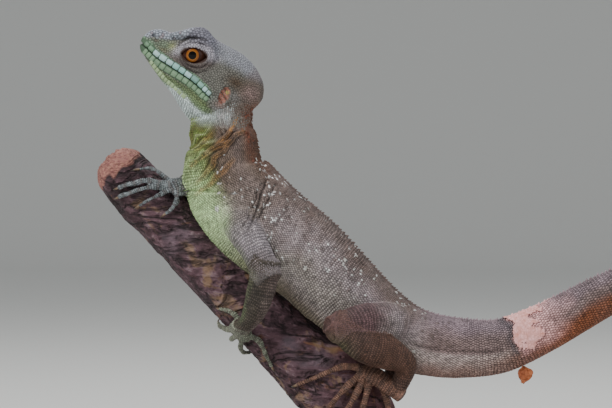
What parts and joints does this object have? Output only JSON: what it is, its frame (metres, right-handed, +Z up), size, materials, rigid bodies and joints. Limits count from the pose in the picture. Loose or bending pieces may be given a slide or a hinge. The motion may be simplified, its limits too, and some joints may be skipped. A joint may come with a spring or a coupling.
{
  "type": "lizard display model",
  "caption": "Life-size green basilisk with raised head gripping a short cut branch, its long tail trailing behind, held up by a plain display stand.",
  "frame": {"origin": "centre of the rod's line on the underside of the stand's base", "axes": "+X towards the end of the tail, +Y towards the animal's right side, +Z up"},
  "size_m": [0.4491, 0.1324, 0.2268],
  "materials": {
    "skin": "dry scaled skin, low sheen",
    "eye": "wet gloss",
    "bark": "rough weathered bark",
    "stand_wood": "satin stained wood",
    "rod_steel": "brushed"
  },
  "bodies": {
    "root": {"head": "skin", "neck": "skin", "torso": "skin", "tail_base": "skin", "tail_middle": "skin", "tail_end": "skin", "upper_arm_left": "skin", "upper_arm_right": "skin", "forearm_left": "skin", "forearm_right": "skin", "hand_left": "skin", "hand_right": "skin", "thigh_left": "skin", "thigh_right": "skin", "shin_left": "skin", "shin_right": "skin", "foot_left": "skin", "foot_right": "skin", "eye_left": "eye", "eye_right": "eye", "branch": "bark", "stand_base": "stand_wood", "stand_rod": "rod_steel"}
  },
  "joints": []
}
